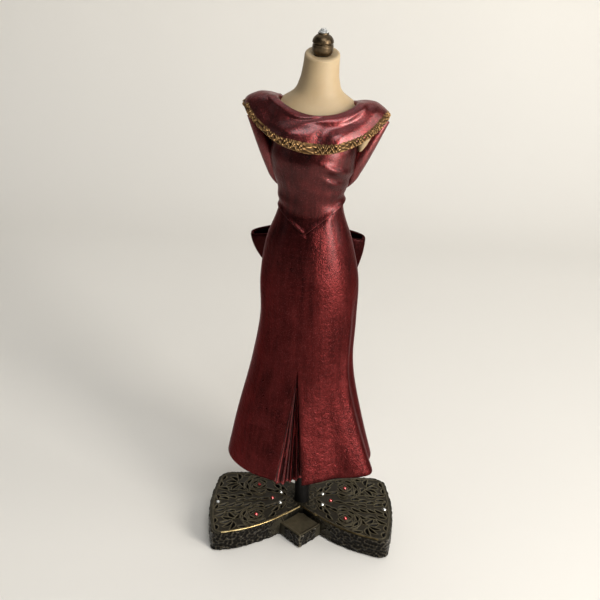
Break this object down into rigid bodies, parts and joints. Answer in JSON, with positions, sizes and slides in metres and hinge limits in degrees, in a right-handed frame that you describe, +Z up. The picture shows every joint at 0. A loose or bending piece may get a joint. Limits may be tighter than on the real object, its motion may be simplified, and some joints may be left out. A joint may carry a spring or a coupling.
{
  "type": "dress form figurine",
  "caption": "Headless dress form in a draped burgundy evening gown with a bow at the back, turning on a black post over a bow-shaped filigree base set with stones.",
  "frame": {"origin": "on the post's axis at the underside of the felt, where the base rests", "axes": "+Z up along the post; the gown faces -Y; +X is to the viewer's right from the front"},
  "size_m": [0.111, 0.076, 0.3],
  "materials": {
    "antique_metal": "dark antique pewter, worn bright on the edges",
    "gilt_edge": "rubbed gilt",
    "felt": "black felt",
    "red_stone": "faceted red glass",
    "clear_stone": "faceted clear glass",
    "black_post": "satin black",
    "steel": "plain zinc-plated steel",
    "bush_brass": "turned brass",
    "gown_resin": "pearl burgundy paint on cold-cast resin",
    "braid_gilt": "antique gold paint over moulded braid, dark in the recesses",
    "ivory_resin": "ivory satin paint on cold-cast resin",
    "bronze": "dark antique bronze"
  },
  "bodies": {
    "base": {"base_casting": "antique_metal", "filigree_left": "antique_metal", "filigree_right": "antique_metal", "rim_bead_left": "gilt_edge", "rim_bead_right": "gilt_edge", "red_stones": "red_stone", "clear_stones": "clear_stone", "felt_pad": "felt", "post": "black_post", "tie_rod": "steel", "base_nut": "steel", "base_washer": "steel", "thrust_washer": "bush_brass"},
    "form": {"skirt": "gown_resin", "pleat_insert": "gown_resin", "bodice": "gown_resin", "collar": "gown_resin", "braid_trim": "braid_gilt", "back_drape": "gown_resin", "bow_loop_left": "gown_resin", "bow_loop_right": "gown_resin", "bow_tie": "gown_resin", "bow_tail_left": "gown_resin", "bow_tail_right": "gown_resin", "bust_form": "ivory_resin", "lower_bush": "bush_brass", "upper_bush": "bush_brass"},
    "finial": {"finial": "bronze", "finial_crystal": "clear_stone"}
  },
  "joints": [
    {"name": "form_swivel", "type": "hinge", "parent": "base", "child": "form", "pos_m": [0, 0, 0.1], "axis": [0, 0, 1], "continuous": true},
    {"name": "finial_turn", "type": "hinge", "parent": "base", "child": "finial", "pos_m": [0, 0, 0.29], "axis": [0, 0, 1], "continuous": true}
  ]
}
